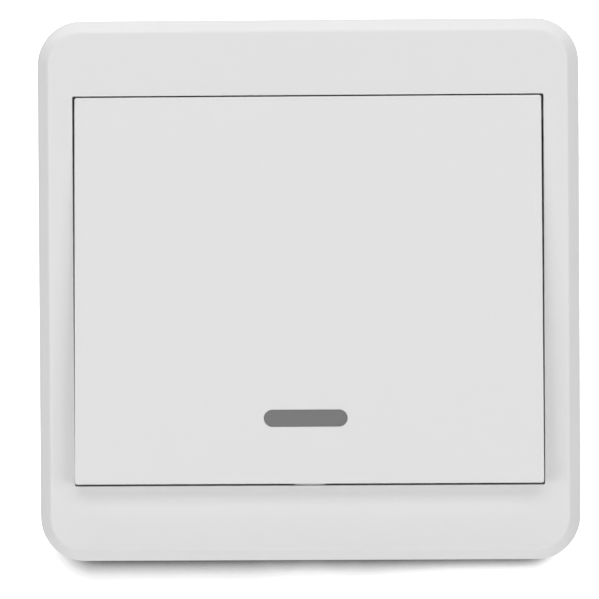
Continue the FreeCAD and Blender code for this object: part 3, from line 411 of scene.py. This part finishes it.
def lay_disc(build, across, up, radius, thickness):
    """A round of foil on the board, its radius and thickness in metres."""
    bmesh.ops.create_cone(
        build, cap_ends=True, segments=round_steps, radius1=radius, radius2=radius,
        depth=thickness, matrix=on_board(across, up, thickness) @ upright)


def finish_piece(piece, material, body):
    """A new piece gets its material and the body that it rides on."""
    piece.data.materials.append(material)
    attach(piece, body)


tracks = bmesh.new()
for route in routes:
    for (x, z), (next_x, next_z) in zip(route, route[1:]):
        run = math.hypot(next_x - x, next_z - z) / mm_per_metre
        turn = math.atan2(z - next_z, next_x - x)
        lay_flat(tracks, (x + next_x) / 2, (z + next_z) / 2, run, track_width, foil, turn)
    for x, z in route[1:-1]:
        lay_disc(tracks, x, z, track_width / 2, corner_foil)
board_tracks = add_object("board_tracks", tracks)
covered_copper = solder_mask("covered_copper", covered_copper_colour)[0]
finish_piece(board_tracks, covered_copper, "housing")

# Pads: the openings in the mask where the foil is bare and tinned, under each lead and cap,
# round each soldered wire and screw, and for the test probes. They are placed in
# millimetres, as the tracks are, and their own sizes are in metres.
tin_colour = (0.68, 0.68, 0.66)
tinned_foil = 0.00006
chip_pad = (0.00065, 0.0015)
transistor_pad = (0.0008, 0.0011)
block_pad = (0.0005, 0.0015)
contact_pad = (0.0038, 0.0074)
joint_pad_radius = 0.0009
screw_pad_radius = 0.0026
block_rows = ((5, 5), (-17, 4))
block_step = 2.7
block_length = 2
joint_places = ((4.5, 3.25), (4.5, 7.75), (-4.5, 3.25), (-4.5, 7.75), (4, -24), (24, -24))
probe_places = ((27, -8), (27, -5.6), (18.4, 16.4))
cloud_scale = 260.0
cloud_shades = (0.86, 1.06)
drawn_scale = 900.0
drawn_detail = 3.0
drawn_depth = 0.000005
drawn_spread = 0.1


def plated(name, colour, roughness, drawing=(1.0, 1.0, 1.0)):
    """Plated metal with a cloudy sheen and fine lines along the way it was drawn."""
    made, tree, shader, place = new_material(name)
    shader.inputs["Metallic"].default_value = 1.0
    clouds = remap(tree, speckle(tree, place, cloud_scale), *cloud_shades)
    tree.links.new(shade(tree, colour, clouds), shader.inputs["Base Color"])
    drawn = add_node(tree, "ShaderNodeMapping", {}, Vector=place, Scale=drawing).outputs[0]
    lines = speckle(tree, drawn, drawn_scale, drawn_detail)
    dulled = remap(tree, lines, roughness - drawn_spread, roughness + drawn_spread)
    tree.links.new(dulled, shader.inputs["Roughness"])
    add_bump(tree, shader, lines, drawn_depth)
    return made


pads = bmesh.new()
for x in chip_leads:
    for z in (19, 13):
        lay_flat(pads, x, z, *chip_pad, tinned_foil)
for x, z in ((-7, 21.7), (-7.95, 19.3), (-6.05, 19.3)):
    lay_flat(pads, x, z, *transistor_pad, tinned_foil)
for start, count in block_rows:
    for number in range(count):
        for x in (start + block_step * number, start + block_step * number + block_length):
            lay_flat(pads, x, 1.5, *block_pad, tinned_foil)
for x in (16.85, -18.45):
    lay_flat(pads, x, -13, *contact_pad, tinned_foil)
for x, z in joint_places + probe_places:
    lay_disc(pads, x, z, joint_pad_radius, tinned_foil)
for x in (-29, 29):
    for z in (21, -23):
        lay_disc(pads, x, z, screw_pad_radius, tinned_foil)
board_pads = add_object("board_pads", pads)
finish_piece(board_pads, plated("tinned_pad", tin_colour, roughness=0.3), "housing")

# Board screws: zinc plated steel, pan headed, with a rolled thread that cuts its own way
# into the shell's bosses. The thread is a fine triangle wound round each shank.
zinc_colour = (0.62, 0.64, 0.66)
shank_radius = 0.001
thread_reach = 0.00008
thread_pitch = 0.0006
thread_foot = 0.0003
thread_turns = 7
steps_per_turn = 18
first_turn = -0.0014
head_radius = 0.0019
zinc_plate = plated("zinc_plate", zinc_colour, roughness=0.34)
finish_with(zinc_plate, "board_screws")
screw_low, screw_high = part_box("board_screws")
threads = bmesh.new()
for x in (screw_low[0] + head_radius, screw_high[0] - head_radius):
    for z in (screw_low[2] + head_radius, screw_high[2] - head_radius):
        crest = shank_radius + thread_reach
        outline = [
            (x + shank_radius, first_turn - thread_foot / 2, z),
            (x + crest, first_turn, z),
            (x + shank_radius, first_turn + thread_foot / 2, z)]
        ridge = threads.faces.new([threads.verts.new(corner) for corner in outline])
        bmesh.ops.spin(
            threads, geom=[ridge], cent=(x, 0, z), axis=(0, -1, 0),
            dvec=(0, -thread_pitch / steps_per_turn, 0), angle=thread_turns * math.tau,
            steps=thread_turns * steps_per_turn)
bmesh.ops.recalc_face_normals(threads, faces=threads.faces[:])
finish_piece(add_object("board_screw_threads", threads), zinc_plate, "housing")

# Push switch: a black moulded base and plunger, four tinned legs, a sprung steel dome
# behind the plunger, and a folded steel cover that is staked over the base.
switch_colour = (0.022, 0.022, 0.024)
cover_colour = (0.52, 0.52, 0.51)
dome_colour = (0.66, 0.64, 0.6)
switch_plastic = moulded(
    "switch_plastic", switch_colour, roughness=0.5, grain=3200.0, depth=0.00001)
finish_with(switch_plastic, "switch_base", "switch_plunger")
cover_steel = plated("cover_steel", cover_colour, roughness=0.3, drawing=(1.0, 9.0, 9.0))
finish_with(cover_steel, "switch_cover")
finish_with(plated("dome_steel", dome_colour, roughness=0.22), "contact_dome")
leg_brass = plated("tinned_brass", tin_colour, roughness=0.36, drawing=(1.0, 6.0, 6.0))
finish_with(leg_brass, "switch_legs")

# Indicator lamp: a light emitting diode cast in tinted clear resin, soldered upright
# behind the rocker's window.
resin_colour = (0.74, 0.05, 0.035)
resin_ior = 1.52
resin_clearness = 0.6
haze_scale = 420.0
haze_shades = (0.85, 1.05)
scuff_scale = 900.0
scuff_roughness = (0.1, 0.24)
resin, tree, shader, place = new_material("lamp_resin")
shader.inputs["IOR"].default_value = resin_ior
shader.inputs["Transmission Weight"].default_value = resin_clearness
haze = remap(tree, speckle(tree, place, haze_scale), *haze_shades)
tree.links.new(shade(tree, resin_colour, haze), shader.inputs["Base Color"])
scuffs = remap(tree, speckle(tree, place, scuff_scale), *scuff_roughness)
tree.links.new(scuffs, shader.inputs["Roughness"])
finish_with(resin, "status_led")

# Encoder chip and transistor: black epoxy cases moulded round tinned lead frames, so each
# is black across its middle, with rows of bright metal leads above and below.
case_colour = (0.018, 0.018, 0.02, 1)
lead_colour = (0.66, 0.66, 0.64, 1)
case_grain = 3600.0
case_roughness = (0.38, 0.62)
case_depth = 0.00001
chip_lead_reach = 0.00105
transistor_lead_reach = 0.0006


def leaded(name, part, lead_reach):
    """Epoxy across the middle of the part, and tinned leads above and below it."""
    low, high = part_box(part)
    made, tree, shader, place = new_material(name)
    height = add_node(tree, "ShaderNodeSeparateXYZ", {}, Vector=place).outputs["Z"]
    away = compute(tree, "ABSOLUTE", compute(tree, "SUBTRACT", height, (low[2] + high[2]) / 2))
    bare = compute(tree, "GREATER_THAN", away, (high[2] - low[2]) / 2 - lead_reach)
    tree.links.new(mix_colours(tree, bare, case_colour, lead_colour), shader.inputs["Base Color"])
    tree.links.new(bare, shader.inputs["Metallic"])
    pits = speckle(tree, place, case_grain, pit_detail)
    tree.links.new(remap(tree, pits, *case_roughness), shader.inputs["Roughness"])
    add_bump(tree, shader, pits, case_depth)
    return made


finish_with(leaded("chip_case", "encoder_chip", chip_lead_reach), "encoder_chip")
finish_with(leaded("transistor_case", "rf_transistor", transistor_lead_reach), "rf_transistor")

# Resonator: a quartz element sealed in a nickel plated steel can, which is drawn from
# sheet and welded to its base.
can_colour = (0.62, 0.59, 0.52)
nickel_can = plated("nickel_can", can_colour, roughness=0.26, drawing=(1.0, 7.0, 1.0))
finish_with(nickel_can, "saw_resonator")

# Chip resistors and capacitors: ceramic blocks in a row across the board, each with tinned
# caps fired on both of its ends.
resistor_colour = (0.03, 0.032, 0.036, 1)
capacitor_colour = (0.36, 0.25, 0.15, 1)
part_pitch = 0.0027
part_half = 0.001
cap_reach = 0.00035
ceramic_grain = 5000.0
ceramic_detail = 3.0
ceramic_roughness = (0.35, 0.6)
ceramic_depth = 0.000008


def capped(name, row, colour):
    """A ceramic colour with bright caps at both ends of each block in the row."""
    low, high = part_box(row)
    made, tree, shader, place = new_material(name)
    along = add_node(tree, "ShaderNodeSeparateXYZ", {}, Vector=place).outputs["X"]
    from_start = compute(tree, "SUBTRACT", along, low[0])
    in_block = compute(tree, "FLOORED_MODULO", from_start, part_pitch)
    away = compute(tree, "ABSOLUTE", compute(tree, "SUBTRACT", in_block, part_half))
    capping = compute(tree, "GREATER_THAN", away, part_half - cap_reach)
    tree.links.new(mix_colours(tree, capping, colour, lead_colour), shader.inputs["Base Color"])
    tree.links.new(capping, shader.inputs["Metallic"])
    grain = speckle(tree, place, ceramic_grain, ceramic_detail)
    tree.links.new(remap(tree, grain, *ceramic_roughness), shader.inputs["Roughness"])
    add_bump(tree, shader, grain, ceramic_depth)
    return made


finish_with(capped("resistor_ceramic", "chip_resistors", resistor_colour), "chip_resistors")
finish_with(capped("capacitor_ceramic", "chip_capacitors", capacitor_colour), "chip_capacitors")

# Antenna: flat copper wire, bent into a bridge and dipped in clear lacquer, with both of
# its ends soldered to the board.
copper_colour = (0.72, 0.3, 0.14)
copper_lacquer = 0.6
copper = plated("lacquered_copper", copper_colour, roughness=0.3, drawing=(1.0, 8.0, 8.0))
copper.node_tree.nodes["Principled BSDF"].inputs["Coat Weight"].default_value = copper_lacquer
finish_with(copper, "antenna_wire")

# Battery: a stack of cells in a nickel plated steel can, inside a printed shrink sleeve
# that is drawn in a little over both ends. The print is plain fields of colour.
sleeve_reach = 0.00005
sleeve_wall = 0.00003
sleeve_lip = 0.0006
sleeve_fields = [
    (0.0, (0.5, 0.5, 0.5, 1)), (0.1, (0.02, 0.09, 0.3, 1)), (0.62, (0.75, 0.75, 0.74, 1)),
    (0.66, (0.02, 0.09, 0.3, 1)), (0.7, (0.6, 0.6, 0.6, 1))]
battery_colour = (0.6, 0.58, 0.54)
crease_scale = 500.0
crease_roughness = (0.22, 0.36)
crease_depth = 0.00002
nub_length = 0.001
can_edge = 0.0005
spin_steps = 64
finish_with(plated("battery_nickel", battery_colour, roughness=0.3), "battery")
battery_low, battery_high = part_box("battery")
can_start = battery_low[0]
can_end = battery_high[0] - nub_length
can_middle = ((battery_low[1] + battery_high[1]) / 2, (battery_low[2] + battery_high[2]) / 2)
can_radius = (battery_high[2] - battery_low[2]) / 2
outer = can_radius + sleeve_reach
sleeve = bmesh.new()
outline = [
    (can_start - sleeve_reach, can_radius - can_edge - sleeve_lip),
    (can_start - sleeve_reach, can_radius - can_edge),
    (can_start + can_edge, outer),
    (can_end - can_edge, outer),
    (can_end + sleeve_reach, can_radius - can_edge),
    (can_end + sleeve_reach, can_radius - can_edge - sleeve_lip)]
corners = [sleeve.verts.new((x, can_middle[0], can_middle[1] + radius)) for x, radius in outline]
skin = [sleeve.edges.new(pair) for pair in zip(corners, corners[1:])]
bmesh.ops.spin(
    sleeve, geom=corners + skin, cent=(0, *can_middle), axis=(1, 0, 0), angle=math.tau,
    steps=spin_steps, use_merge=True)
bmesh.ops.recalc_face_normals(sleeve, faces=sleeve.faces[:])
bmesh.ops.solidify(sleeve, geom=sleeve.faces[:], thickness=sleeve_wall)
for face in sleeve.faces:
    face.smooth = True
print_finish, tree, shader, place = new_material("sleeve_print")
along = add_node(tree, "ShaderNodeSeparateXYZ", {}, Vector=place).outputs["X"]
fields = add_node(tree, "ShaderNodeValToRGB", {}, Fac=remap(tree, along, 0.0, 1.0, can_start, can_end))
ramp = fields.color_ramp
ramp.interpolation = "CONSTANT"
for number, (start, colour) in enumerate(sleeve_fields):
    stop = ramp.elements[0] if number == 0 else ramp.elements.new(start)
    stop.position = start
    stop.color = colour
# A new ramp starts with two stops, and the second of them is still at its end.
ramp.elements.remove(ramp.elements[-1])
tree.links.new(fields.outputs["Color"], shader.inputs["Base Color"])
creases = speckle(tree, place, crease_scale)
tree.links.new(remap(tree, creases, *crease_roughness), shader.inputs["Roughness"])
add_bump(tree, shader, creases, crease_depth)
finish_piece(add_object("battery_sleeve", sleeve), print_finish, "housing")

# Battery contacts: nickel plated spring brass, bent up through the board's window and
# soldered to it by their feet.
contact_colour = (0.52, 0.48, 0.39)
spring_nickel = plated("spring_nickel", contact_colour, roughness=0.32, drawing=(8.0, 8.0, 1.0))
finish_with(spring_nickel, "battery_contact_plus", "battery_contact_minus")

# Solder joints: small bright mounds on the board, drawn up against each leg of the push
# switch and each end of the antenna.
solder_colour = (0.7, 0.7, 0.7)
joint_radius = 0.0007
joint_top_radius = 0.00028
joint_height = 0.0005
joint_crown = 0.00012
joints = bmesh.new()
for x, z in joint_places:
    middle = board_face - joint_height / 2
    stand = Matrix.Translation((x / mm_per_metre, middle, z / mm_per_metre)) @ upright
    mound = bmesh.ops.create_cone(
        joints, cap_ends=True, segments=round_steps, radius1=joint_radius,
        radius2=joint_top_radius, depth=joint_height, matrix=stand)["verts"]
    crown = [vert for vert in mound if vert.co.y < middle]
    rim = {edge for vert in crown for edge in vert.link_edges if edge.other_vert(vert) in crown}
    bmesh.ops.bevel(
        joints, geom=list(rim), offset=joint_crown, offset_type="OFFSET", segments=3,
        profile=0.5, affect="EDGES", material=-1)
for face in joints.faces:
    face.smooth = True
solder_joints = add_object("solder_joints", joints)
finish_piece(solder_joints, plated("solder", solder_colour, roughness=0.24), "housing")

# Front frame: one white moulding, snapped over the shell's tongues. The CAD mesh gives its
# shape, and both edges of the bevel along its rim are softly rounded here, as they are
# where the mould was polished.
white_colour = (0.75, 0.75, 0.75)
rim_drop = 0.003
rim_offset = 0.00033
rim_edge_offset = 0.00016
facing_front = 0.9
same_level = 0.000005
joined = 0.000001
flat_turn = math.radians(0.5)
sharp_turn = math.radians(28)
moulding = bmesh.new()
moulding.from_mesh(nodes["front_frame"].data)
bmesh.ops.remove_doubles(moulding, verts=moulding.verts[:], dist=joined)
bmesh.ops.dissolve_limit(
    moulding, angle_limit=flat_turn, verts=moulding.verts[:], edges=moulding.edges[:])


def rim_edges(build, level, outer_above, inner_above):
    """Edges at one distance from the wall, chosen by how far their two faces look forward."""
    found = []
    for edge in build.edges:
        level_run = all(abs(vert.co.y - level) < same_level for vert in edge.verts)
        forward = sorted(-face.normal.y for face in edge.link_faces)
        if level_run and len(forward) == 2:
            if outer_above < forward[0] < facing_front and forward[1] > inner_above:
                found.append(edge)
    return found


face_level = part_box("front_frame")[0][1]
bevel_edges = (
    (face_level, 0.3, facing_front, rim_offset, 5),
    (face_level + rim_drop, -0.1, 0.3, rim_edge_offset, 3))
for level, outer_above, inner_above, offset, segments in bevel_edges:
    bmesh.ops.bevel(
        moulding, geom=rim_edges(moulding, level, outer_above, inner_above), offset=offset,
        offset_type="OFFSET", segments=segments, profile=0.5, affect="EDGES", material=-1)
for face in moulding.faces:
    face.smooth = True
for edge in moulding.edges:
    edge.smooth = edge.is_manifold and edge.calc_face_angle() < sharp_turn
white_plastic = moulded("white_plastic", white_colour, roughness=0.42, grain=3500.0, depth=0.00001)
frame_moulding = add_object("frame_moulding", moulding)
evened = frame_moulding.modifiers.new("even_faces", "WEIGHTED_NORMAL")
evened.keep_sharp = True
finish_piece(frame_moulding, white_plastic, "housing")
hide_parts("front_frame")

# Rocker: the one large key, a thin ribbed tray of the same white plastic. It turns on two
# moulded pins near its top edge, and a springy hook at its lower edge holds it in.
finish_with(white_plastic, "rocker")

# Hook gusset: a rib moulded on the rocker above its retaining hook, so that the hook can't
# lean. It almost fills the gap below the key, where it shows as a lighter tab.
gusset_half = 0.00235
gusset_front = -0.0114
gusset_back = -0.0099
gusset_top = -0.0304
gusset_foot = -0.0308
gusset_outline = [
    (gusset_front, gusset_top), (gusset_front, gusset_foot),
    (gusset_back, gusset_foot), (gusset_back, gusset_top)]
gusset = bmesh.new()
end_face = gusset.faces.new([gusset.verts.new((-gusset_half, y, z)) for y, z in gusset_outline])
drawn_out = bmesh.ops.extrude_face_region(gusset, geom=[end_face], use_keep_orig=True)
other_end = [item for item in drawn_out["geom"] if isinstance(item, bmesh.types.BMVert)]
bmesh.ops.translate(gusset, vec=(2 * gusset_half, 0, 0), verts=other_end)
bmesh.ops.recalc_face_normals(gusset, faces=gusset.faces[:])
finish_piece(add_object("hook_gusset", gusset), white_plastic, "key")

# Indicator lens: a smoked window pressed into the rocker from behind, flush with its face
# and dark while the lamp is off.
smoked_colour = (0.165, 0.165, 0.165)
lens_plastic = moulded("lens_plastic", smoked_colour, roughness=0.3, grain=3500.0, depth=0.000004)
finish_with(lens_plastic, "indicator_lens")
